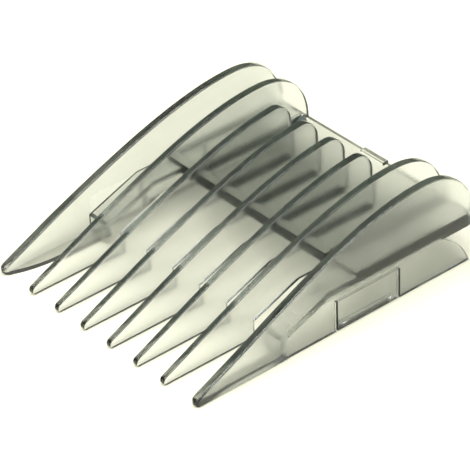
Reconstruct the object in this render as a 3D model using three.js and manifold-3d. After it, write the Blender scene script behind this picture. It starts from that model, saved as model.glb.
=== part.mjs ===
// A clip-on guide comb for a hair clipper: eight upright teeth on a bridge plate, and two side skirts whose
// snap tongues grip the clipper head. Millimetres, +Z up, +Y from the tooth tips to the heel, +X to the right.
// Outlines are drawn with y = 0 at the tips. The finished comb is centred on X and Y and stands on z = 0.
import * as THREE from "three";
import { mergeVertices } from "three/addons/utils/BufferGeometryUtils.js";
import Module from "manifold-3d";

const wasm = await Module();
wasm.setup();

// Whole comb
const TOOTH_COUNT = 8;
const PITCH = 6.2;
const LENGTH = 56.5;
const HEIGHT = 17.5;

// Side view of a tooth
const NOSE_RADIUS = 0.8;
const FRONT_SLOPE = THREE.MathUtils.degToRad(25);
const FRONT_FULLNESS = 0.36;
const CREST_FULLNESS = 0.28;
const CREST_BEFORE_HEEL = 10;
const HEEL_FULLNESS = 0.6;
const FOOT_LENGTH = 17.8;
const FOOT_STEP = 3.1;
const RAMP_LENGTH = 8.9;
const LEDGE_HEIGHT = 6.4;
const SHORT_BY = 9.1;
const SHORT_CORNER = 3.6;

// Inner teeth, thinner at the tip, and the leaning side teeth
const TOOTH_THICKNESS = 1.3;
const TIP_THICKNESS = 1;
const SIDE_THICKNESS = 1.5;
const SIDE_FOOT_OFFSET = 1.7;
const SIDE_LEAN = 0.8;
const LEAN_START = 2;
const SIDE_ROUND = 2;
const ROOT_FILLET = 0.8;

// The flange along the inside of a side tooth's lower edge: sole, step wall, ramp and ear
const FLANGE_THICKNESS = 1;
const FLANGE_WIDTH = 3.5;
const RAMP_THICKNESS = 0.7;
const SOLE_THICKNESS = 0.7;
const SOLE_WIDTH = 1.9;
const SOLE_CHAMFER = 1.4;
const BOW_LENGTH = 11;
const BOW_FULLNESS = 0.5;
const BOW_START = 0.4;

// Bridge plate
const PLATE_THICKNESS = 1.2;
const PLATE_LENGTH = 24.3;
const LIP_RISE = 0.6;
const LIP_LENGTH = 2.8;
const LIP_TOP_SHARE = 0.3;
const LIP_FOOT_SHARE = 0.6;
const LUG_WIDTH = 5.3;
const LUG_OFFSET = 0.95;
const LUG_LENGTH = 1.2;
const LUG_HEIGHT = 0.5;

// Side skirts and their snap tongues
const SKIRT_INSET = 0.2;
const SKIRT_THICKNESS = 1.1;
const SKIRT_REAR_GAP = 1.4;
const SKIRT_TOP_GAP = 7.1;
const SKIRT_END_PULL = 1.5;
const SKIRT_END_RISE = 4.4;
const TONGUE_FRONT = 27.9;
const TONGUE_LENGTH = 12.4;
const TONGUE_TOP = 5;
const TONGUE_LIFT = 0.1;
const SLIT = 0.5;
const HINGE_GAP = 0.4;
const RIB_LENGTH = 10.7;
const RIB_START = 0.6;
const RIB_HEIGHT = 1.2;
const RIB_DEPTH = 0.6;
const RIB_SLOPE_SHARE = 0.3;

// Where those sizes put things
const SIDE_CENTRE = (PITCH * (TOOTH_COUNT - 1)) / 2;
const SIDE_FOOT_OUTER = SIDE_CENTRE + SIDE_FOOT_OFFSET;
const SIDE_FOOT_INNER = SIDE_FOOT_OUTER - SIDE_THICKNESS;
const SOLE_EDGE = SIDE_FOOT_INNER - SOLE_WIDTH;
const FLANGE_EDGE = SIDE_FOOT_INNER - FLANGE_WIDTH;
const PLATE_TOP = LEDGE_HEIGHT + PLATE_THICKNESS;
const PLATE_FRONT = LENGTH - PLATE_LENGTH;
const RAMP_END = FOOT_LENGTH + RAMP_LENGTH;
const CREST = LENGTH - CREST_BEFORE_HEEL;
const SHORT_END = LENGTH - SHORT_BY;
const SKIRT_OUTER = SIDE_FOOT_OUTER - SKIRT_INSET;
const SKIRT_INNER = SKIRT_OUTER - SKIRT_THICKNESS;
const SKIRT_END = LENGTH - SKIRT_REAR_GAP;
const SKIRT_TOP_END = LENGTH - SKIRT_TOP_GAP;
const PAST = 1;
const CURVE_STEPS = 14;

const SMOKE = { color: 0xb9bcaa, roughness: 0.08, metalness: 0, transparent: true, opacity: 0.55 };
const FROST = { color: 0xa9ad9b, roughness: 0.5, metalness: 0, transparent: true, opacity: 0.75 };

// ---- Solids from three.js geometries

function solidOf(geometry) {
  geometry.deleteAttribute("normal");
  geometry.deleteAttribute("uv");
  const merged = mergeVertices(geometry, 1e-4);
  return new wasm.Manifold(
    new wasm.Mesh({
      numProp: 3,
      vertProperties: merged.attributes.position.array,
      triVerts: new Uint32Array(merged.index.array),
    }),
  );
}

function geometryOf(solid) {
  const mesh = solid.getMesh();
  const geometry = new THREE.BufferGeometry();
  geometry.setAttribute("position", new THREE.BufferAttribute(mesh.vertProperties, 3));
  geometry.setIndex(new THREE.BufferAttribute(mesh.triVerts, 1));
  const faceted = geometry.toNonIndexed();
  faceted.computeVertexNormals();
  return faceted;
}

function extruded(shape, depth) {
  return new THREE.ExtrudeGeometry(shape, { depth, bevelEnabled: false, curveSegments: CURVE_STEPS });
}

// A side view (y, z) pushed along X between two places.
function fromSide(shape, x0, x1) {
  const turn = new THREE.Matrix4().makeBasis(
    new THREE.Vector3(0, 1, 0),
    new THREE.Vector3(0, 0, 1),
    new THREE.Vector3(1, 0, 0),
  );
  const low = Math.min(x0, x1);
  return solidOf(extruded(shape, Math.abs(x1 - x0)).applyMatrix4(turn).translate(low, 0, 0));
}

// A front view (x, z) pushed along Y between two places.
function fromFront(shape, y0, y1) {
  return solidOf(extruded(shape, y1 - y0).rotateX(Math.PI / 2).translate(0, y1, 0));
}

// A plan view (x, y) pushed up through the whole height.
function fromAbove(shape) {
  return solidOf(extruded(shape, HEIGHT + 2 * PAST).translate(0, 0, -PAST));
}

function outline(points) {
  return new THREE.Shape(points.map(([a, b]) => new THREE.Vector2(a, b)));
}

function block(x0, x1, y0, y1, z0, z1) {
  const box = new THREE.BoxGeometry(Math.abs(x1 - x0), y1 - y0, z1 - z0);
  return solidOf(box.translate((x0 + x1) / 2, (y0 + y1) / 2, (z0 + z1) / 2));
}

// ---- Teeth

// The long tooth from the side: round nose, rising front, crest, round heel, then the ledge, ramp and foot.
function toothOutline() {
  const noseTop = Math.PI / 2 + FRONT_SLOPE;
  const startY = NOSE_RADIUS * (1 + Math.cos(noseTop));
  const startZ = NOSE_RADIUS * (1 + Math.sin(noseTop));
  const lead = FRONT_FULLNESS * CREST;
  const drop = HEIGHT - PLATE_TOP;
  const shape = new THREE.Shape();
  shape.moveTo(NOSE_RADIUS, 0);
  shape.absarc(NOSE_RADIUS, NOSE_RADIUS, NOSE_RADIUS, -Math.PI / 2, noseTop, true);
  shape.bezierCurveTo(
    startY + lead, startZ + lead * Math.tan(FRONT_SLOPE),
    CREST * (1 - CREST_FULLNESS), HEIGHT,
    CREST, HEIGHT,
  );
  shape.bezierCurveTo(
    CREST + HEEL_FULLNESS * CREST_BEFORE_HEEL, HEIGHT,
    LENGTH, PLATE_TOP + HEEL_FULLNESS * drop,
    LENGTH, PLATE_TOP,
  );
  shape.lineTo(LENGTH, LEDGE_HEIGHT);
  shape.lineTo(RAMP_END, LEDGE_HEIGHT);
  shape.lineTo(FOOT_LENGTH, FOOT_STEP);
  shape.lineTo(FOOT_LENGTH, 0);
  return shape;
}

// What a short tooth keeps of the long one: it stops sooner, with a tighter top corner.
function shortEnvelope() {
  const shape = new THREE.Shape();
  shape.moveTo(-PAST, -PAST);
  shape.lineTo(SHORT_END, -PAST);
  shape.lineTo(SHORT_END, HEIGHT - SHORT_CORNER);
  shape.absarc(SHORT_END - SHORT_CORNER, HEIGHT - SHORT_CORNER, SHORT_CORNER, 0, Math.PI / 2, false);
  shape.lineTo(-PAST, HEIGHT);
  return shape;
}

// The hollow round at a tooth's root, on the plate behind the lip, growing from x towards side.
function rootFillet(x, side, end) {
  const r = ROOT_FILLET;
  const shape = new THREE.Shape();
  shape.moveTo(x, PLATE_TOP);
  shape.lineTo(x + side * r, PLATE_TOP);
  shape.absarc(x + side * r, PLATE_TOP + r, r, -Math.PI / 2, side > 0 ? -Math.PI : 0, side > 0);
  return fromFront(shape, PLATE_FRONT + LIP_LENGTH, end - r);
}

function innerTooth(x, isLong, plate) {
  const half = TOOTH_THICKNESS / 2;
  const tipHalf = TIP_THICKNESS / 2;
  const end = isLong ? LENGTH : SHORT_END;
  const plan = new THREE.Shape();
  plan.moveTo(x + half, LENGTH + PAST);
  plan.lineTo(x - half, LENGTH + PAST);
  plan.lineTo(x - half, PLATE_FRONT);
  plan.lineTo(x - tipHalf, tipHalf);
  plan.absarc(x, tipHalf, tipHalf, Math.PI, 2 * Math.PI, false);
  plan.lineTo(x + half, PLATE_FRONT);
  let tooth = fromSide(toothOutline(), x - half, x + half).intersect(fromAbove(plan));
  if (!isLong) tooth = tooth.intersect(fromSide(shortEnvelope(), x - PITCH, x + PITCH));
  tooth = tooth.add(rootFillet(x + half, 1, end)).add(rootFillet(x - half, -1, end));
  return tooth.subtract(plate);
}

// The blade of a side tooth: it leans in towards its crest and is rounded at the tip and the heel.
function sideBlade(side) {
  const section = outline([
    [side * SIDE_FOOT_INNER, 0],
    [side * SIDE_FOOT_OUTER, 0],
    [side * SIDE_FOOT_OUTER, LEAN_START],
    [side * (SIDE_FOOT_OUTER - SIDE_LEAN), HEIGHT],
    [side * (SIDE_FOOT_INNER - SIDE_LEAN), HEIGHT],
    [side * SIDE_FOOT_INNER, LEAN_START],
  ]);
  const inside = side * (SIDE_FOOT_INNER - SIDE_LEAN);
  const outside = side * SIDE_FOOT_OUTER;
  const middle = side * (SIDE_FOOT_OUTER - SIDE_THICKNESS / 2);
  const plan = new THREE.Shape();
  plan.moveTo(inside, LENGTH + PAST);
  plan.lineTo(side * (SIDE_FOOT_OUTER - SIDE_ROUND), LENGTH + PAST);
  plan.lineTo(side * (SIDE_FOOT_OUTER - SIDE_ROUND), LENGTH);
  plan.quadraticCurveTo(outside, LENGTH, outside, LENGTH - SIDE_ROUND);
  plan.lineTo(outside, SIDE_THICKNESS / 2);
  plan.quadraticCurveTo(outside, 0, middle, 0);
  plan.quadraticCurveTo(side * SIDE_FOOT_INNER, 0, side * SIDE_FOOT_INNER, SIDE_THICKNESS / 2);
  plan.lineTo(inside, SIDE_THICKNESS / 2);
  return fromSide(toothOutline(), inside, outside)
    .intersect(fromFront(section, 0, LENGTH))
    .intersect(fromAbove(plan));
}

// The flange from the side: it follows the lower edge from the tip to the plate's front.
function flangeOutline() {
  const corner = FLANGE_THICKNESS * Math.tan(Math.atan2(LEDGE_HEIGHT - FOOT_STEP, RAMP_LENGTH) / 2);
  return outline([
    [0, 0],
    [FOOT_LENGTH, 0],
    [FOOT_LENGTH, FOOT_STEP],
    [RAMP_END, LEDGE_HEIGHT],
    [PLATE_FRONT, LEDGE_HEIGHT],
    [PLATE_FRONT, LEDGE_HEIGHT + FLANGE_THICKNESS],
    [RAMP_END - corner, LEDGE_HEIGHT + FLANGE_THICKNESS],
    [FOOT_LENGTH - FLANGE_THICKNESS, FOOT_STEP + RAMP_THICKNESS],
    [FOOT_LENGTH - FLANGE_THICKNESS, SOLE_THICKNESS],
    [0, SOLE_THICKNESS],
  ]);
}

// The sole is narrower than the rest of the flange, and starts from the tip in a curve like a bow.
function innerFlange(side) {
  const joined = side * (SIDE_FOOT_INNER + SIDE_THICKNESS / 2);
  const section = outline([
    [joined, 0],
    [joined, LEDGE_HEIGHT + FLANGE_THICKNESS],
    [side * FLANGE_EDGE, LEDGE_HEIGHT + FLANGE_THICKNESS],
    [side * FLANGE_EDGE, SOLE_CHAMFER],
    [side * SOLE_EDGE, 0],
  ]);
  const plan = new THREE.Shape();
  plan.moveTo(joined, SIDE_THICKNESS / 2);
  plan.lineTo(side * SIDE_FOOT_INNER, SIDE_THICKNESS / 2);
  plan.bezierCurveTo(
    side * (SIDE_FOOT_INNER - BOW_START * SOLE_WIDTH), (BOW_FULLNESS / 2) * BOW_LENGTH,
    side * SOLE_EDGE, BOW_FULLNESS * BOW_LENGTH,
    side * SOLE_EDGE, BOW_LENGTH,
  );
  plan.lineTo(side * SOLE_EDGE, FOOT_LENGTH - FLANGE_THICKNESS);
  plan.lineTo(side * FLANGE_EDGE, FOOT_LENGTH - FLANGE_THICKNESS);
  plan.lineTo(side * FLANGE_EDGE, PLATE_FRONT);
  plan.lineTo(joined, PLATE_FRONT);
  return fromSide(flangeOutline(), side * FLANGE_EDGE, joined)
    .intersect(fromFront(section, 0, PLATE_FRONT))
    .intersect(fromAbove(plan));
}

function sideTooth(side) {
  return sideBlade(side).add(innerFlange(side));
}

// ---- Bridge plate, with its raised front lip; its ends are cut to the leaning side teeth

function bridgePlate(sideTeeth) {
  const lipTop = PLATE_TOP + LIP_RISE;
  const shape = new THREE.Shape();
  shape.moveTo(PLATE_FRONT, LEDGE_HEIGHT);
  shape.lineTo(LENGTH, LEDGE_HEIGHT);
  shape.lineTo(LENGTH, PLATE_TOP);
  shape.lineTo(PLATE_FRONT + LIP_LENGTH, PLATE_TOP);
  shape.bezierCurveTo(
    PLATE_FRONT + LIP_FOOT_SHARE * LIP_LENGTH, PLATE_TOP,
    PLATE_FRONT + LIP_FOOT_SHARE * LIP_LENGTH, lipTop,
    PLATE_FRONT + LIP_TOP_SHARE * LIP_LENGTH, lipTop,
  );
  shape.quadraticCurveTo(PLATE_FRONT, lipTop, PLATE_FRONT, PLATE_TOP);
  const plate = fromSide(shape, -SIDE_FOOT_INNER, SIDE_FOOT_INNER);
  return sideTeeth.reduce((left, tooth) => left.subtract(tooth), plate);
}

// A low bar on the plate's rear edge, a little to one side.
function heelLug() {
  const left = LUG_OFFSET - LUG_WIDTH / 2;
  const top = PLATE_TOP + LUG_HEIGHT;
  return block(left, left + LUG_WIDTH, LENGTH - LUG_LENGTH, LENGTH, PLATE_TOP, top);
}

// ---- Skirts, snap tongues and catch ribs

function skirt(side) {
  const shape = new THREE.Shape();
  shape.moveTo(FOOT_LENGTH, 0);
  shape.lineTo(SKIRT_END, 0);
  shape.quadraticCurveTo(SKIRT_END - SKIRT_END_PULL, SKIRT_END_RISE, SKIRT_TOP_END, LEDGE_HEIGHT);
  shape.lineTo(RAMP_END, LEDGE_HEIGHT);
  shape.lineTo(FOOT_LENGTH, FOOT_STEP);
  const window = block(
    side * (SKIRT_INNER - PAST), side * (SKIRT_OUTER + PAST),
    TONGUE_FRONT - SLIT, TONGUE_FRONT + TONGUE_LENGTH + SLIT,
    -PAST, TONGUE_TOP + HINGE_GAP,
  );
  return fromSide(shape, side * SKIRT_INNER, side * SKIRT_OUTER).subtract(window);
}

function snapTongue(side) {
  const ends = [TONGUE_FRONT, TONGUE_FRONT + TONGUE_LENGTH];
  return block(side * SKIRT_INNER, side * SKIRT_OUTER, ...ends, TONGUE_LIFT, TONGUE_TOP);
}

// A rib on the tongue's inner face, sloped above and below so that it rides over the clipper head's edge.
function catchRib(side) {
  const low = TONGUE_LIFT;
  const section = outline([
    [side * SKIRT_INNER, low],
    [side * (SKIRT_INNER - RIB_DEPTH), low + RIB_SLOPE_SHARE * RIB_HEIGHT],
    [side * (SKIRT_INNER - RIB_DEPTH), low + (1 - RIB_SLOPE_SHARE) * RIB_HEIGHT],
    [side * SKIRT_INNER, low + RIB_HEIGHT],
  ]);
  const start = TONGUE_FRONT + RIB_START;
  return fromFront(section, start, start + RIB_LENGTH);
}

// ---- Assembly

const comb = new THREE.Group();
comb.position.y = -LENGTH / 2;

function place(name, solid, look) {
  const mesh = new THREE.Mesh(geometryOf(solid), new THREE.MeshStandardMaterial(look));
  mesh.name = name;
  comb.add(mesh);
}

const sides = [["left", -1], ["right", 1]];
const sideTeeth = sides.map(([, side]) => sideTooth(side));
const plate = bridgePlate(sideTeeth);
place("bridge_plate", plate, SMOKE);
place("heel_lug", heelLug(), SMOKE);
for (let number = 2; number < TOOTH_COUNT; number++) {
  const x = (number - 1) * PITCH - SIDE_CENTRE;
  const isLong = number === 2 || number === TOOTH_COUNT - 1;
  place(`tooth_${number}`, innerTooth(x, isLong, plate), SMOKE);
}
sides.forEach(([word, side], which) => {
  place(`${word}_side_tooth`, sideTeeth[which], FROST);
  place(`${word}_skirt`, skirt(side), SMOKE);
  place(`${word}_snap_tongue`, snapTongue(side), SMOKE);
  place(`${word}_catch_rib`, catchRib(side), SMOKE);
});

export default comb;
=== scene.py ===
# A clip-on guide comb in clear smoke plastic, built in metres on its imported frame.
# +Z points up, away from the skin, and +Y runs from the tooth tips to the heel.
import math
from contextlib import contextmanager

import bpy
from mathutils import Matrix, Vector


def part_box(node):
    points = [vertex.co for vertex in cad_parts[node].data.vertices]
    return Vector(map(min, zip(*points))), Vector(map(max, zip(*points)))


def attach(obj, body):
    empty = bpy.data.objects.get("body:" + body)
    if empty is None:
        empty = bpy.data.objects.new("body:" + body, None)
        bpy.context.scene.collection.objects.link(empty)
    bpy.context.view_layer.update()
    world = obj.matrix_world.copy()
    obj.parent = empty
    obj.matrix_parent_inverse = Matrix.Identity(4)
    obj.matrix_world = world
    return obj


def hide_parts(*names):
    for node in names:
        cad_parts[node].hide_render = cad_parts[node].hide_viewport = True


bl_info = {
    "name": "Guide Comb",
    "version": (1, 0, 0),
    "blender": (4, 5, 0),
    "location": "View3D > Sidebar > Comb",
    "description": "Models a clip-on guide comb for a hair clipper in clear smoke plastic",
    "category": "Object",
}

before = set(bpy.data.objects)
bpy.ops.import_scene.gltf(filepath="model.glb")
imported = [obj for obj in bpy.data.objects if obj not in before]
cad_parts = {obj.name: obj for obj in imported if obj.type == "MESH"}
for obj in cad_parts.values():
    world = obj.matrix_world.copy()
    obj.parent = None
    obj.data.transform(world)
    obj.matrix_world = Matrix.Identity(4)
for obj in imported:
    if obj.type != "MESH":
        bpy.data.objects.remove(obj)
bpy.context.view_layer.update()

MM = 0.001

# ---- Places that come from the frame

PLATE_LOW, PLATE_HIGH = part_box("bridge_plate")
SIDE_LOW, SIDE_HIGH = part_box("right_side_tooth")
SKIRT_LOW, SKIRT_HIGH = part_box("right_skirt")
TONGUE_LOW, TONGUE_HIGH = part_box("right_snap_tongue")
LUG_LOW, LUG_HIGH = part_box("heel_lug")
RIB_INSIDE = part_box("right_catch_rib")[0].x
SHORT_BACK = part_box("tooth_4")[1].y
TIP = SIDE_LOW.y
HEEL = SIDE_HIGH.y
TOP = SIDE_HIGH.z
LEDGE = PLATE_LOW.z

SIDES = {"left": -1, "right": 1}
INNER_TEETH = range(2, 8)
SHORT_TEETH = range(3, 7)

# ---- Small sizes of the construction

# Rounding of the small edges.
LIP_EDGE = 0.15 * MM
FLANGE_EDGE = 0.05 * MM
SKIRT_EDGE = 0.08 * MM
TONGUE_EDGE = 0.08 * MM
RIB_EDGE = 0.04 * MM
LUG_EDGE = 0.1 * MM

# How far one solid runs into the next, so that they join into one skin.
ROOT_BURY = 0.25 * MM
SKIRT_BURY = 0.3 * MM
LUG_BURY = 0.3 * MM
RIB_BURY = 0.3 * MM
WEB_BURY = 0.08 * MM
SOLE_BURY = 0.7 * MM
EAR_BURY = 0.5 * MM
PLATE_INSET = 1.1 * MM

# A short tooth follows the long teeth's front curve this far, then turns down at its corner.
SHORT_SHARE = 0.94
CORNER_PULL = 0.45
CORNER_RISE = 0.02 * MM

# The hollow rounds start this far behind the plate's front edge, under the lip's crest.
ROOT_START = 1.2 * MM

# A side tooth's heel and nose narrow in this many steps, down to these shares of its thickness.
TAPER_STEPS = 6
HEEL_TRIM = 0.8
NOSE_WIDTH = 0.35

# Where the lip's front slope starts and where its crest ends, as shares of its length.
LIP_FOOT = 0.7
LIP_CREST = 0.4

# The bow of the sole from above: shares of the sole's width and of the bow's length.
BOW_WIDTH = 0.4
BOW_START = 0.25
BOW_END = 0.5

# The outline that trims the sole runs this far past the strip.
BOW_MARGIN = 1 * MM

# Share of a catch rib's height that slopes, above and below.
RIB_SLOPE = 0.3

# Keeps a whole quarter turn in one part in spite of rounding.
ANGLE_SLACK = 1e-6

# Steps along a curve, and across a rounded edge.
CURVE_STEPS = 10
TOOTH_STEPS = 24
EDGE_STEPS = 4
BLOCK_EDGE_STEPS = 3

# Points nearer than this are one, as drawn and after joining.
DRAWN_WELD = 1e-6
JOINED_WELD = 2e-6
FLAT_ANGLE = math.radians(0.3)
SMOOTH_ANGLE = math.radians(35)
FACE_WEIGHT = 100

# ---- Finish of the plastic's skin

GRAIN_SCALE = 2600.0
GRAIN_DETAIL = 3.0
GRAIN_HEIGHT = 0.05 * MM
GRAIN_STRENGTH = 0.02
CLOUD_SCALE = 160.0
CLOUD_DETAIL = 2.0
CLOUD_ROUGHNESS = 0.04

# A face counts as broad where its normal points sideways by more than this.
BROAD_FACE = 0.9
BROAD_SOFTNESS = 0.08

# The frosting covers this depth from the comb's widest point inwards.
SATIN_DEPTH = 1.1 * MM
SATIN_SIDE_SOFTNESS = 0.1 * MM
SATIN_END_SOFTNESS = 0.3 * MM

# ---- Stage

FLOOR_SIZE = 6
FLOOR_DROP = 0.02 * MM
FLOOR_ROUGHNESS = 0.9
SOFT_BOX_PLACE = (0.12, -0.22, 0.88)
SOFT_BOX_SIZE = 1.3
SKY_COLOUR = (0.88, 0.94, 0.92, 1)
SKY_STRENGTH = 0.04
CAMERA_AZIMUTH = math.radians(50.13)
CAMERA_ELEVATION = math.radians(34.85)
CAMERA_ROLL = math.radians(-1.87)
CAMERA_TARGET = Vector((0, -0.35 * MM, 6.2 * MM))
CAMERA_DISTANCE = 536.05 * MM
CAMERA_SHIFT = (-0.0004, -0.0053)
CAMERA_CLIP = (0.01, 20)
SENSOR_WIDTH = 36
LENS = 3515 / 470 * SENSOR_WIDTH

# Light passes many faces of the clear teeth before it leaves them.
CLEAR_BOUNCES = 40
GLOSSY_BOUNCES = 16
DIFFUSE_BOUNCES = 4


# ---- Sizes and colours that a user would change


class CombTeethSizes(bpy.types.PropertyGroup):
    thickness: bpy.props.FloatProperty(
        name="Thickness", description="Thickness of an inner tooth at the plate",
        default=1.3 * MM, unit="LENGTH",
    )
    tip_thickness: bpy.props.FloatProperty(
        name="Tip Thickness", description="Thickness of an inner tooth at its nose",
        default=1.0 * MM, unit="LENGTH",
    )
    nose_radius: bpy.props.FloatProperty(
        name="Nose Radius", description="Roundness of a nose from the side",
        default=0.8 * MM, unit="LENGTH",
    )
    front_slope: bpy.props.FloatProperty(
        name="Front Slope", description="How steeply the front edge starts",
        default=math.radians(25), subtype="ANGLE",
    )
    front_fullness: bpy.props.FloatProperty(
        name="Front Fullness", description="Share of the run to the crest that follows the slope",
        default=0.36,
    )
    crest_fullness: bpy.props.FloatProperty(
        name="Crest Fullness", description="Share of the run to the crest that lies level",
        default=0.28,
    )
    crest_back: bpy.props.FloatProperty(
        name="Crest Back", description="Distance from the crest to the heel",
        default=10 * MM, unit="LENGTH",
    )
    heel_fullness: bpy.props.FloatProperty(
        name="Heel Fullness", description="How square the heel's curve is", default=0.6
    )
    short_corner: bpy.props.FloatProperty(
        name="Short Corner", description="Radius at the top rear of a short tooth",
        default=3.6 * MM, unit="LENGTH",
    )
    foot_length: bpy.props.FloatProperty(
        name="Foot Length", description="Length of the foot from the tip",
        default=17.8 * MM, unit="LENGTH",
    )
    foot_step: bpy.props.FloatProperty(
        name="Foot Step", description="Height of the step behind the foot",
        default=3.1 * MM, unit="LENGTH",
    )
    ramp_length: bpy.props.FloatProperty(
        name="Ramp Length", description="Length of the ramp from the step to the ledge",
        default=8.9 * MM, unit="LENGTH",
    )
    side_thickness: bpy.props.FloatProperty(
        name="Side Thickness", description="Thickness of a side tooth",
        default=1.5 * MM, unit="LENGTH",
    )
    side_lean: bpy.props.FloatProperty(
        name="Side Lean", description="How far a side tooth leans in at its crest",
        default=0.8 * MM, unit="LENGTH",
    )
    lean_start: bpy.props.FloatProperty(
        name="Lean Start", description="Height above which a side tooth leans in",
        default=6.1 * MM, unit="LENGTH",
    )
    side_round: bpy.props.FloatProperty(
        name="Side Round", description="Rounding of a side tooth's heel from above",
        default=2 * MM, unit="LENGTH",
    )
    crown: bpy.props.FloatProperty(
        name="Crown", description="Rounding along the edges of an inner tooth",
        default=0.25 * MM, unit="LENGTH",
    )
    side_crown: bpy.props.FloatProperty(
        name="Side Crown", description="Rounding along the edges of a side tooth",
        default=0.32 * MM, unit="LENGTH",
    )
    root: bpy.props.FloatProperty(
        name="Root", description="Radius of the hollow round where a tooth meets the plate",
        default=1.15 * MM, unit="LENGTH",
    )


class CombPlateSizes(bpy.types.PropertyGroup):
    lip_length: bpy.props.FloatProperty(
        name="Lip Length", description="Length of the raised lip along the plate's front",
        default=2.8 * MM, unit="LENGTH",
    )
    lip_rise: bpy.props.FloatProperty(
        name="Lip Rise", description="Height of the lip above the plate",
        default=0.6 * MM, unit="LENGTH",
    )
    flange_thickness: bpy.props.FloatProperty(
        name="Flange Thickness", description="Thickness of a side tooth's flange",
        default=1 * MM, unit="LENGTH",
    )
    ramp_thickness: bpy.props.FloatProperty(
        name="Ramp Thickness", description="Thickness of the flange at the step",
        default=0.7 * MM, unit="LENGTH",
    )
    sole_thickness: bpy.props.FloatProperty(
        name="Sole Thickness", description="Thickness of the flange under the foot",
        default=0.7 * MM, unit="LENGTH",
    )
    sole_width: bpy.props.FloatProperty(
        name="Sole Width", description="Width of the flange under the foot",
        default=1.9 * MM, unit="LENGTH",
    )
    sole_chamfer: bpy.props.FloatProperty(
        name="Sole Chamfer", description="Height of the slope below the flange's inner edge",
        default=1.4 * MM, unit="LENGTH",
    )
    bow_length: bpy.props.FloatProperty(
        name="Bow Length", description="Length over which the sole widens from the tip",
        default=11 * MM, unit="LENGTH",
    )


class CombSkirtSizes(bpy.types.PropertyGroup):
    top_gap: bpy.props.FloatProperty(
        name="Top Gap", description="Distance from the skirt's top rear corner to the heel",
        default=7.1 * MM, unit="LENGTH",
    )
    end_pull: bpy.props.FloatProperty(
        name="End Pull", description="How far the rear curve is pulled forwards",
        default=1.5 * MM, unit="LENGTH",
    )
    end_rise: bpy.props.FloatProperty(
        name="End Rise", description="Height of the rear curve's shoulder",
        default=4.4 * MM, unit="LENGTH",
    )
    slit: bpy.props.FloatProperty(
        name="Slit", description="Gap beside a snap tongue", default=0.28 * MM, unit="LENGTH"
    )
    hinge_gap: bpy.props.FloatProperty(
        name="Hinge Gap", description="Height of the thin bending web above a snap tongue",
        default=0.4 * MM, unit="LENGTH",
    )


class CombFinish(bpy.types.PropertyGroup):
    tint: bpy.props.FloatVectorProperty(
        name="Tint", description="Colour that passes through the plastic",
        subtype="COLOR", size=3,
        default=(0.61, 0.645, 0.63), min=0, max=1,
    )
    depth: bpy.props.FloatProperty(
        name="Depth", description="How quickly the tint deepens, per metre", default=400.0
    )
    polished_roughness: bpy.props.FloatProperty(
        name="Polished Roughness", description="Roughness of the narrow edges",
        default=0.08, min=0, max=1,
    )
    clear_roughness: bpy.props.FloatProperty(
        name="Clear Roughness", description="Roughness of the broad faces",
        default=0.14, min=0, max=1,
    )
    satin_roughness: bpy.props.FloatProperty(
        name="Satin Roughness", description="Roughness of the frosted outer faces",
        default=0.31, min=0, max=1,
    )
    refraction: bpy.props.FloatProperty(
        name="Refraction", description="Refractive index of the plastic",
        default=1.5, min=1, max=2,
    )
    floor: bpy.props.FloatVectorProperty(
        name="Floor", description="Colour of the studio floor", subtype="COLOR", size=3,
        default=(0.90, 0.885, 0.715), min=0, max=1,
    )
    lamp: bpy.props.FloatProperty(
        name="Lamp", description="Power of the overhead soft box", default=19.5, unit="POWER"
    )


# ---- Drawing outlines and turning them into solids


class Pen:
    """Draws a closed outline of straight lines and curves, in one flat view."""

    def __init__(self, start):
        self.knots = [[start, None, None]]

    def line(self, *points):
        for point in points:
            self.knots.append([point, None, None])
        return self

    def curve(self, leave, arrive, end):
        self.knots[-1][2] = leave
        self.knots.append([end, arrive, None])
        return self

    def arc(self, centre, radius, start, end):
        """Goes round a centre from one angle to another, in steps of at most a quarter turn."""
        parts = max(1, math.ceil(abs(end - start) / (math.pi / 2) - ANGLE_SLACK))
        step = (end - start) / parts
        # Handles of this length make the curve follow the circle.
        pull = 4 / 3 * math.tan(step / 4) * radius
        for part in range(parts):
            a, b = start + part * step, start + (part + 1) * step
            first = (centre[0] + radius * math.cos(a), centre[1] + radius * math.sin(a))
            last = (centre[0] + radius * math.cos(b), centre[1] + radius * math.sin(b))
            self.curve(
                (first[0] - pull * math.sin(a), first[1] + pull * math.cos(a)),
                (last[0] + pull * math.sin(b), last[1] - pull * math.cos(b)),
                last,
            )
        return self


def between(p, q, share):
    """A point part of the way from one point to another."""
    return (p[0] + (q[0] - p[0]) * share, p[1] + (q[1] - p[1]) * share)


def split_curve(a, b, c, d, share):
    """The first part of a curve, up to a share of its run."""
    ab, bc, cd = between(a, b, share), between(b, c, share), between(c, d, share)
    abc, bcd = between(ab, bc, share), between(bc, cd, share)
    return ab, abc, between(abc, bcd, share)


def deselect():
    if bpy.context.object and bpy.context.object.mode != "OBJECT":
        bpy.ops.object.mode_set(mode="OBJECT")
    bpy.ops.object.select_all(action="DESELECT")


def only(obj):
    """Selects one object alone and makes it active."""
    deselect()
    obj.select_set(True)
    bpy.context.view_layer.objects.active = obj


@contextmanager
def editing(obj):
    """Edit mode on one object, with all of it selected."""
    only(obj)
    bpy.ops.object.mode_set(mode="EDIT")
    bpy.ops.mesh.select_all(action="SELECT")
    yield
    bpy.ops.mesh.select_all(action="DESELECT")
    bpy.ops.object.mode_set(mode="OBJECT")


def settle(obj):
    """Puts an object's turn, place and scale into its mesh."""
    only(obj)
    bpy.ops.object.transform_apply(location=True, rotation=True, scale=True)


# How an outline is turned to lie in each view, and the line of sight that it is pushed along.
VIEWS = {
    "side": ((math.pi / 2, 0, math.pi / 2), Vector((1, 0, 0))),
    "front": ((math.pi / 2, 0, 0), Vector((0, 1, 0))),
    "above": ((0, 0, 0), Vector((0, 0, 1))),
}


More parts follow.
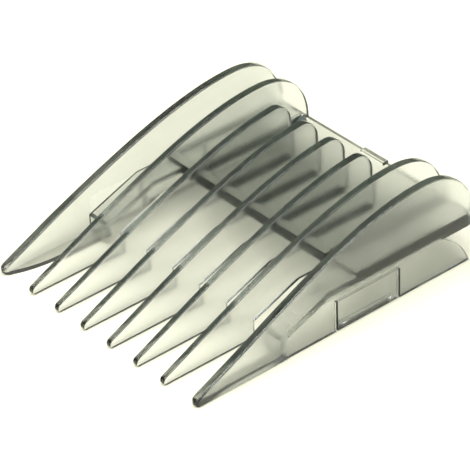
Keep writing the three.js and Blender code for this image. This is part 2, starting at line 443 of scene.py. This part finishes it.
def drawn(name, pen, steps):
    """A pen's outline as a flat closed curve."""
    deselect()
    bpy.ops.curve.primitive_bezier_curve_add(location=(0, 0, 0))
    obj = bpy.context.object
    obj.name = name
    obj.data.dimensions = "2D"
    obj.data.fill_mode = "BOTH"
    obj.data.resolution_u = steps
    obj.data.render_resolution_u = 0
    spline = obj.data.splines[0]
    spline.resolution_u = steps
    spline.bezier_points.add(len(pen.knots) - len(spline.bezier_points))
    spline.use_cyclic_u = True
    for point, (place, arrive, leave) in zip(spline.bezier_points, pen.knots):
        point.handle_left_type = "FREE" if arrive else "VECTOR"
        point.handle_right_type = "FREE" if leave else "VECTOR"
        point.co = (*place, 0)
        if arrive:
            point.handle_left = (*arrive, 0)
        if leave:
            point.handle_right = (*leave, 0)
    return obj


def pushed(name, pen, view, low, high, edge=0.0, steps=CURVE_STEPS):
    """An outline pushed between two places along its line of sight, with rounded edges."""
    obj = drawn(name, pen, steps)
    obj.data.extrude = (high - low) / 2 - edge
    obj.data.bevel_depth = edge
    obj.data.bevel_resolution = EDGE_STEPS
    obj.data.offset = -edge
    only(obj)
    bpy.ops.object.convert(target="MESH")
    turn, sight = VIEWS[view]
    obj.rotation_euler = turn
    obj.location = sight * ((low + high) / 2)
    settle(obj)
    with editing(obj):
        bpy.ops.mesh.remove_doubles(threshold=DRAWN_WELD)
        bpy.ops.mesh.normals_make_consistent(inside=False)
    return obj


def block(name, low, high, edge):
    """A box between two corners, with rounded edges."""
    deselect()
    bpy.ops.mesh.primitive_cube_add(size=1, location=(low + high) / 2)
    obj = bpy.context.object
    obj.name = name
    obj.scale = high - low
    settle(obj)
    bevel = obj.modifiers.new("Edges", "BEVEL")
    bevel.width = edge
    bevel.segments = BLOCK_EDGE_STEPS
    bpy.ops.object.modifier_apply(modifier=bevel.name)
    return obj


def boolean(obj, other, operation):
    """Joins two solids or keeps what they share, and removes the second one."""
    only(obj)
    change = obj.modifiers.new("Boolean", "BOOLEAN")
    change.operation = operation
    change.solver = "MANIFOLD"
    change.object = other
    bpy.ops.object.modifier_apply(modifier=change.name)
    bpy.data.objects.remove(other)
    return obj


def cut_away(obj, point, normal):
    """Slices a solid at a plane, removes what lies beyond it and closes the cut."""
    with editing(obj):
        bpy.ops.mesh.bisect(plane_co=point, plane_no=normal, use_fill=True, clear_outer=True)


def score(obj, point, normal):
    """Adds an edge loop where a plane crosses a solid."""
    with editing(obj):
        bpy.ops.mesh.bisect(plane_co=point, plane_no=normal)


def joined(name, parts):
    """Joins solids that run into each other into one skin."""
    whole, *rest = parts
    for part in rest:
        boolean(whole, part, "UNION")
    whole.name = name
    whole.data.name = name
    return whole


def finished(obj):
    """Shades smoothly over round edges and keeps the flat faces flat."""
    with editing(obj):
        bpy.ops.mesh.remove_doubles(threshold=JOINED_WELD)
        bpy.ops.mesh.dissolve_degenerate(threshold=DRAWN_WELD)
        bpy.ops.mesh.dissolve_limited(angle_limit=FLAT_ANGLE)
    bpy.ops.object.shade_smooth_by_angle(angle=SMOOTH_ANGLE)
    weigh = obj.modifiers.new("Face Weight", "WEIGHTED_NORMAL")
    weigh.keep_sharp = True
    weigh.weight = FACE_WEIGHT
    bpy.ops.object.modifier_apply(modifier=weigh.name)
    return obj


# ---- Shader maths and nodes


class Nodes:
    """One material's node tree."""

    def __init__(self, name):
        self.material = bpy.data.materials.new(name)
        self.material.use_nodes = True
        self.tree = self.material.node_tree
        self.tree.nodes.clear()

    def add(self, kind, settings=None, **inputs):
        """Adds a node: its type, its settings first, then the values or links of its sockets.

        A socket is named in lower case with underscores, or numbered as _0, _1 and so on.
        """
        node = self.tree.nodes.new(kind)
        for key, value in (settings or {}).items():
            setattr(node, key, value)
        named = {s.name.replace(" ", "_").lower(): s for s in reversed(node.inputs) if s.enabled}
        for key, value in inputs.items():
            socket = node.inputs[int(key[1:])] if key[0] == "_" else named[key]
            if isinstance(value, Socket):
                self.tree.links.new(value.socket, socket)
            else:
                socket.default_value = value
        return node

    def out(self, node, name=0):
        return Socket(self, node.outputs[name])


class Socket:
    """A socket that can be written in sums, such as 1 - mask."""

    def __init__(self, nodes, socket):
        self.nodes = nodes
        self.socket = socket

    def maths(self, operation, *values, **settings):
        inputs = {f"_{number}": value for number, value in enumerate(values)}
        settings["operation"] = operation
        return self.nodes.out(self.nodes.add("ShaderNodeMath", settings, **inputs))

    def __add__(self, other):
        return self.maths("ADD", self, other)

    def __radd__(self, other):
        return self.maths("ADD", other, self)

    def __sub__(self, other):
        return self.maths("SUBTRACT", self, other)

    def __rsub__(self, other):
        return self.maths("SUBTRACT", other, self)

    def __mul__(self, other):
        return self.maths("MULTIPLY", self, other)

    def __rmul__(self, other):
        return self.maths("MULTIPLY", other, self)

    def __abs__(self):
        return self.maths("ABSOLUTE", self)

    def above(self, edge, soft):
        """0 below an edge and 1 above it, over a soft step."""
        return self.maths("MULTIPLY_ADD", self, 1 / soft, 0.5 - edge / soft, use_clamp=True)


def smoke_plastic(name, finish, satin):
    """Clear smoke plastic with a fine moulded skin, frosted on the outer sides if it is satin."""
    nodes = Nodes(name)
    place = nodes.out(nodes.add("ShaderNodeTexCoord"), "Object")
    split = nodes.add("ShaderNodeSeparateXYZ", vector=place)
    normal = nodes.out(nodes.add("ShaderNodeNewGeometry"), "Normal")
    facing = nodes.add("ShaderNodeSeparateXYZ", vector=normal)
    solid = {"noise_dimensions": "3D"}
    grain = nodes.add(
        "ShaderNodeTexNoise", solid, vector=place, scale=GRAIN_SCALE, detail=GRAIN_DETAIL
    )
    cloud = nodes.add(
        "ShaderNodeTexNoise", solid, vector=place, scale=CLOUD_SCALE, detail=CLOUD_DETAIL
    )
    broad = abs(nodes.out(facing, "X")).above(BROAD_FACE, BROAD_SOFTNESS)
    skin = nodes.out(cloud, "Fac") * CLOUD_ROUGHNESS + finish.polished_roughness
    roughness = skin + broad * (finish.clear_roughness - finish.polished_roughness)
    if satin:
        across = abs(nodes.out(split, "X"))
        outside = across.above(SIDE_HIGH.x - SATIN_DEPTH, SATIN_SIDE_SOFTNESS)
        over_skirt = nodes.out(split, "Z").above(LEDGE, SATIN_END_SOFTNESS)
        ahead_of_skirt = 1 - nodes.out(split, "Y").above(SKIRT_LOW.y, SATIN_END_SOFTNESS)
        blade = over_skirt.maths("MAXIMUM", over_skirt, ahead_of_skirt)
        frosting = finish.satin_roughness - finish.clear_roughness
        roughness = roughness + broad * outside * blade * frosting
    bump = nodes.add(
        "ShaderNodeBump",
        strength=GRAIN_STRENGTH,
        distance=GRAIN_HEIGHT,
        height=nodes.out(grain, "Fac"),
    )
    shade = nodes.add(
        "ShaderNodeBsdfPrincipled",
        base_color=(1, 1, 1, 1),
        ior=finish.refraction,
        transmission_weight=1.0,
        roughness=roughness,
        normal=nodes.out(bump),
    )
    murk = nodes.add("ShaderNodeVolumeAbsorption", color=(*finish.tint, 1), density=finish.depth)
    nodes.add("ShaderNodeOutputMaterial", surface=nodes.out(shade), volume=nodes.out(murk))
    return nodes.material


def paint(obj, material):
    obj.data.materials.clear()
    obj.data.materials.append(material)


# ---- Outlines and solids of this comb


def flat_top(plate):
    """Height of the plate's flat top, behind the lip."""
    return PLATE_HIGH.z - plate.lip_rise


def tooth_pen(sizes, plate, short):
    """A tooth from the side: round nose, rising front, crest, heel, then ledge, ramp and foot."""
    r = sizes.nose_radius
    crest_y = HEEL - sizes.crest_back
    run = crest_y - TIP
    nose = (TIP + r, r)
    turn = math.pi / 2 + sizes.front_slope
    start = (nose[0] + r * math.cos(turn), nose[1] + r * math.sin(turn))
    lead = sizes.front_fullness * run
    leave = (start[0] + lead, start[1] + lead * math.tan(sizes.front_slope))
    arrive = (crest_y - sizes.crest_fullness * run, TOP)
    crest = (crest_y, TOP)
    pen = Pen((TIP + r, 0)).arc(nose, r, -math.pi / 2, turn - 2 * math.pi)
    if short:
        back = SHORT_BACK
        corner = sizes.short_corner
        first, second, end = split_curve(start, leave, arrive, crest, SHORT_SHARE)
        pen.curve(first, second, end)
        pen.curve(
            (back - CORNER_PULL * corner, end[1] + CORNER_RISE),
            (back, end[1] - CORNER_PULL * corner),
            (back, end[1] - corner),
        )
    else:
        back = HEEL
        base = flat_top(plate)
        pen.curve(leave, arrive, crest)
        pen.curve(
            (crest_y + sizes.heel_fullness * sizes.crest_back, TOP),
            (HEEL, base + sizes.heel_fullness * (TOP - base)),
            (HEEL, base),
        )
    foot = TIP + sizes.foot_length
    return pen.line(
        (back, LEDGE), (foot + sizes.ramp_length, LEDGE), (foot, sizes.foot_step), (foot, 0)
    )


def root_pen(x, side, r, base):
    """The hollow round between the plate's top and an upright face, run a little into both."""
    buried = x - side * ROOT_BURY
    pen = Pen((buried, base - ROOT_BURY))
    pen.line((x + side * r, base - ROOT_BURY), (x + side * r, base))
    pen.arc((x + side * r, base + r), r, -math.pi / 2, -math.pi if side > 0 else 0)
    return pen.line((buried, base + r))


def root(x, side, end, sizes, plate):
    """A hollow round along one side of a tooth, from under the lip to near the tooth's end."""
    pen = root_pen(x, side, sizes.root, flat_top(plate))
    return pushed("root", pen, "front", PLATE_LOW.y + ROOT_START, end - sizes.root)


def inner_tooth(x, short, sizes, plate):
    """An inner tooth, thinned evenly from the plate's front to its nose."""
    half = sizes.thickness / 2
    pen = tooth_pen(sizes, plate, short)
    tooth = pushed("tooth", pen, "side", x - half, x + half, sizes.crown, TOOTH_STEPS)
    score(tooth, (0, PLATE_LOW.y, 0), (0, 1, 0))
    for vertex in tooth.data.vertices:
        ahead = max(0.0, PLATE_LOW.y - vertex.co.y) / (PLATE_LOW.y - TIP)
        narrow = 1 - ahead * (1 - sizes.tip_thickness / sizes.thickness)
        vertex.co.x = x + (vertex.co.x - x) * narrow
    return tooth


def leaned(height, sizes):
    """How far a side tooth leans towards the middle at a height."""
    slope = sizes.side_lean / (TOP - sizes.lean_start)
    return slope * max(0.0, height - sizes.lean_start)


def side_tooth(side, sizes, plate):
    """A side tooth, leaning in, rounded from above at its heel and pinched at its nose."""
    outer = side * SIDE_HIGH.x
    inner = outer - side * sizes.side_thickness
    low, high = sorted((inner, outer))
    pen = tooth_pen(sizes, plate, False)
    blade = pushed("blade", pen, "side", low, high, sizes.side_crown, TOOTH_STEPS)
    r = sizes.side_round
    pinch = sizes.side_thickness / 2
    for step in range(TAPER_STEPS):
        share = 1 - math.sin(step / TAPER_STEPS * math.pi / 2)
        score(blade, (0, HEEL - r * share, 0), (0, 1, 0))
        score(blade, (0, TIP + pinch * share, 0), (0, 1, 0))
    middle = (inner + outer) / 2
    for vertex in blade.data.vertices:
        behind = min(1.0, max(0.0, (vertex.co.y - HEEL + r) / r))
        trim = min(HEEL_TRIM * sizes.side_thickness, r * (1 - math.sqrt(1 - behind * behind)))
        vertex.co.x = inner + (vertex.co.x - inner) * (1 - trim / sizes.side_thickness)
        ahead = min(1.0, max(0.0, (TIP + pinch - vertex.co.y) / pinch))
        width = max(NOSE_WIDTH, math.sqrt(1 - ahead * ahead))
        vertex.co.x = middle + (vertex.co.x - middle) * width
    score(blade, (0, 0, sizes.lean_start), (0, 0, 1))
    for vertex in blade.data.vertices:
        vertex.co.x -= side * leaned(vertex.co.z, sizes)
    return blade


def flange(side, sizes, plate):
    """Sole, step wall, ramp and ear, in one strip along the inside of a side tooth."""
    inner = SIDE_HIGH.x - sizes.side_thickness
    narrow = SIDE_LOW.x
    sole = inner - plate.sole_width
    buried = inner + SOLE_BURY
    foot = TIP + sizes.foot_length
    ramp = foot + sizes.ramp_length
    t = plate.flange_thickness
    corner = t * math.tan(math.atan2(LEDGE - sizes.foot_step, sizes.ramp_length) / 2)
    pen = Pen((TIP, 0)).line(
        (foot, 0),
        (foot, sizes.foot_step),
        (ramp, LEDGE),
        (PLATE_LOW.y + EAR_BURY, LEDGE),
        (PLATE_LOW.y + EAR_BURY, LEDGE + t),
        (ramp - corner, LEDGE + t),
        (foot - t, sizes.foot_step + plate.ramp_thickness),
        (foot - t, plate.sole_thickness),
        (TIP, plate.sole_thickness),
    )
    low, high = sorted((side * narrow, side * buried))
    strip = pushed("flange", pen, "side", low, high, FLANGE_EDGE)
    slope = Vector((-side * plate.sole_chamfer, 0, -(sole - narrow))).normalized()
    cut_away(strip, (side * sole, 0, 0), slope)

    near = TIP + sizes.side_thickness / 2
    bow = Pen((side * buried, near)).line((side * inner, near))
    bow.curve(
        (side * (inner - BOW_WIDTH * plate.sole_width), TIP + BOW_START * plate.bow_length),
        (side * sole, TIP + BOW_END * plate.bow_length),
        (side * sole, TIP + plate.bow_length),
    )
    bow.line(
        (side * sole, foot - t),
        (side * (narrow - BOW_MARGIN), foot - t),
        (side * (narrow - BOW_MARGIN), PLATE_LOW.y + BOW_MARGIN),
        (side * buried, PLATE_LOW.y + BOW_MARGIN),
    )
    return boolean(strip, pushed("bow", bow, "above", -BOW_MARGIN, TOP), "INTERSECT")


def bridge(plate):
    """The plate that joins the teeth, with the raised lip along its front."""
    base = flat_top(plate)
    crest = base + plate.lip_rise
    front = PLATE_LOW.y
    slope = front + LIP_FOOT * plate.lip_length
    pen = Pen((front, LEDGE)).line((HEEL, LEDGE), (HEEL, base), (front + plate.lip_length, base))
    pen.curve((slope, base), (slope, crest), (front + LIP_CREST * plate.lip_length, crest))
    pen.line((front + LIP_EDGE, crest))
    pen.arc((front + LIP_EDGE, crest - LIP_EDGE), LIP_EDGE, math.pi / 2, math.pi)
    reach = SIDE_HIGH.x - PLATE_INSET
    return pushed("bridge", pen, "side", -reach, reach)


def skirt_wall(side, sizes, skirt):
    """The wall beside the clipper head, with its window for the tongue and its curved rear."""
    foot = TIP + sizes.foot_length
    front = TONGUE_LOW.y - skirt.slit
    back = TONGUE_HIGH.y + skirt.slit
    roof = TONGUE_HIGH.z + skirt.hinge_gap
    pen = Pen((foot - SKIRT_BURY, 0)).line(
        (front, 0), (front, roof), (back, roof), (back, 0), (SKIRT_HIGH.y, 0)
    )
    shoulder = (SKIRT_HIGH.y - skirt.end_pull, skirt.end_rise)
    end = (HEEL - skirt.top_gap, LEDGE)
    # Both handles lie two thirds of the way to the shoulder, which makes a plain parabola.
    pen.curve(between((SKIRT_HIGH.y, 0), shoulder, 2 / 3), between(end, shoulder, 2 / 3), end)
    pen.line(
        (end[0], LEDGE + SKIRT_BURY),
        (foot + sizes.ramp_length - SKIRT_BURY, LEDGE + SKIRT_BURY),
        (foot - SKIRT_BURY, sizes.foot_step + SKIRT_BURY),
    )
    low, high = sorted((side * SKIRT_LOW.x, side * SKIRT_HIGH.x))
    return pushed("skirt", pen, "side", low, high, SKIRT_EDGE)


def catch_rib(word, side):
    """The rib inside a tongue, with a slope above and below, run a little into the tongue."""
    low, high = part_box(f"{word}_catch_rib")
    slope = RIB_SLOPE * (high.z - low.z)
    base = side * SKIRT_LOW.x
    inside = side * RIB_INSIDE
    buried = base + side * RIB_BURY
    pen = Pen((buried, low.z)).line(
        (base, low.z),
        (inside, low.z + slope),
        (inside, high.z - slope),
        (base, high.z),
        (buried, high.z),
    )
    return pushed("rib", pen, "front", low.y, high.y, RIB_EDGE)


# ---- Operators, one for each piece or group of like pieces


class COMB_OT_moulding(bpy.types.Operator):
    """Models the teeth, plate, flanges and skirts as the one continuous moulding they are"""

    bl_idname = "comb.moulding"
    bl_label = "Moulding"

    def execute(self, context):
        scene = context.scene
        sizes, plate, skirt = scene.comb_teeth, scene.comb_plate, scene.comb_skirt
        parts = [bridge(plate)]
        half = sizes.thickness / 2
        for number in INNER_TEETH:
            low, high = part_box(f"tooth_{number}")
            x = (low.x + high.x) / 2
            short = number in SHORT_TEETH
            end = SHORT_BACK if short else HEEL
            parts.append(inner_tooth(x, short, sizes, plate))
            for side in SIDES.values():
                parts.append(root(x + side * half, side, end, sizes, plate))
        for side in SIDES.values():
            parts.append(side_tooth(side, sizes, plate))
            parts.append(flange(side, sizes, plate))
            parts.append(skirt_wall(side, sizes, skirt))
            inside = SIDE_HIGH.x - sizes.side_thickness
            face = inside - leaned(flat_top(plate) + sizes.root, sizes)
            parts.append(root(side * face, -side, HEEL, sizes, plate))
        parts.append(block("lug", LUG_LOW - Vector((0, 0, LUG_BURY)), LUG_HIGH, LUG_EDGE))
        whole = finished(joined("comb_moulding", parts))
        paint(whole, smoke_plastic("Smoke plastic", scene.comb_finish, True))
        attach(whole, "comb")
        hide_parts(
            "bridge_plate", "heel_lug", *[f"tooth_{n}" for n in INNER_TEETH],
            "left_side_tooth", "right_side_tooth", "left_skirt", "right_skirt",
        )
        return {"FINISHED"}


class COMB_OT_tongues(bpy.types.Operator):
    """Models each snap tongue with its catch rib and the web that it bends at"""

    bl_idname = "comb.tongues"
    bl_label = "Snap Tongues"

    def execute(self, context):
        scene = context.scene
        material = smoke_plastic("Smoke plastic tongue", scene.comb_finish, False)
        web = Vector((0, 0, scene.comb_skirt.hinge_gap + WEB_BURY))
        for word, side in SIDES.items():
            low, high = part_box(f"{word}_snap_tongue")
            panel = block("panel", low, high + web, TONGUE_EDGE)
            tongue = finished(joined(f"{word}_tongue", [panel, catch_rib(word, side)]))
            paint(tongue, material)
            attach(tongue, f"{word}_tongue")
            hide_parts(f"{word}_snap_tongue", f"{word}_catch_rib")
        return {"FINISHED"}


class COMB_OT_stage(bpy.types.Operator):
    """Sets a plain pale floor, soft studio light and the camera"""

    bl_idname = "comb.stage"
    bl_label = "Stage"

    def execute(self, context):
        scene = context.scene
        finish = scene.comb_finish
        self.lay_floor(finish)
        self.light(scene, finish)
        self.aim_camera(scene)
        scene.view_settings.view_transform = "Standard"
        scene.cycles.max_bounces = CLEAR_BOUNCES
        scene.cycles.transmission_bounces = CLEAR_BOUNCES
        scene.cycles.transparent_max_bounces = CLEAR_BOUNCES
        scene.cycles.glossy_bounces = GLOSSY_BOUNCES
        scene.cycles.diffuse_bounces = DIFFUSE_BOUNCES
        return {"FINISHED"}

    def lay_floor(self, finish):
        deselect()
        bpy.ops.mesh.primitive_plane_add(size=FLOOR_SIZE, location=(0, 0, -FLOOR_DROP))
        floor = bpy.context.object
        floor.name = "floor"
        nodes = Nodes("Pale floor")
        shade = nodes.add(
            "ShaderNodeBsdfPrincipled",
            base_color=(*finish.floor, 1),
            roughness=FLOOR_ROUGHNESS,
            specular_ior_level=0.0,
        )
        nodes.add("ShaderNodeOutputMaterial", surface=nodes.out(shade))
        paint(floor, nodes.material)

    def light(self, scene, finish):
        bpy.ops.object.light_add(type="AREA", location=SOFT_BOX_PLACE)
        lamp = bpy.context.object
        lamp.name = "overhead_soft_box"
        lamp.data.shape = "DISK"
        lamp.data.size = SOFT_BOX_SIZE
        lamp.data.energy = finish.lamp
        lamp.rotation_euler = (-Vector(SOFT_BOX_PLACE)).to_track_quat("-Z", "Y").to_euler()
        scene.world = bpy.data.worlds.new("Studio")
        scene.world.use_nodes = True
        sky = scene.world.node_tree.nodes["Background"]
        sky.inputs["Color"].default_value = SKY_COLOUR
        sky.inputs["Strength"].default_value = SKY_STRENGTH

    def aim_camera(self, scene):
        data = bpy.data.cameras.new("camera")
        camera = bpy.data.objects.new("camera", data)
        scene.collection.objects.link(camera)
        right = Vector((math.cos(CAMERA_AZIMUTH), math.sin(CAMERA_AZIMUTH), 0))
        back = Vector((
            math.sin(CAMERA_AZIMUTH) * math.cos(CAMERA_ELEVATION),
            -math.cos(CAMERA_AZIMUTH) * math.cos(CAMERA_ELEVATION),
            math.sin(CAMERA_ELEVATION),
        ))
        up = back.cross(right)
        axis_x = math.cos(CAMERA_ROLL) * right + math.sin(CAMERA_ROLL) * up
        axis_y = -math.sin(CAMERA_ROLL) * right + math.cos(CAMERA_ROLL) * up
        turn = Matrix((axis_x, axis_y, back)).transposed()
        place = CAMERA_TARGET + back * CAMERA_DISTANCE
        camera.matrix_world = Matrix.Translation(place) @ turn.to_4x4()
        data.sensor_width = SENSOR_WIDTH
        data.lens = LENS
        data.shift_x, data.shift_y = CAMERA_SHIFT
        data.clip_start, data.clip_end = CAMERA_CLIP
        scene.camera = camera


class COMB_PT_panel(bpy.types.Panel):
    """Lists the comb's operators in the sidebar"""

    bl_label = "Guide Comb"
    bl_idname = "COMB_PT_panel"
    bl_space_type = "VIEW_3D"
    bl_region_type = "UI"
    bl_category = "Comb"

    def draw(self, context):
        for operator in OPERATORS:
            self.layout.operator(operator.bl_idname)


GROUPS = {
    "comb_teeth": CombTeethSizes,
    "comb_plate": CombPlateSizes,
    "comb_skirt": CombSkirtSizes,
    "comb_finish": CombFinish,
}
OPERATORS = (COMB_OT_stage, COMB_OT_moulding, COMB_OT_tongues)


def register():
    for made in (*GROUPS.values(), *OPERATORS, COMB_PT_panel):
        bpy.utils.register_class(made)
    for name, group in GROUPS.items():
        setattr(bpy.types.Scene, name, bpy.props.PointerProperty(type=group))


def unregister():
    for name in GROUPS:
        delattr(bpy.types.Scene, name)
    for made in reversed((*GROUPS.values(), *OPERATORS, COMB_PT_panel)):
        bpy.utils.unregister_class(made)


def main():
    register()
    bpy.ops.comb.stage()
    bpy.ops.comb.moulding()
    bpy.ops.comb.tongues()


if __name__ == "__main__":
    main()
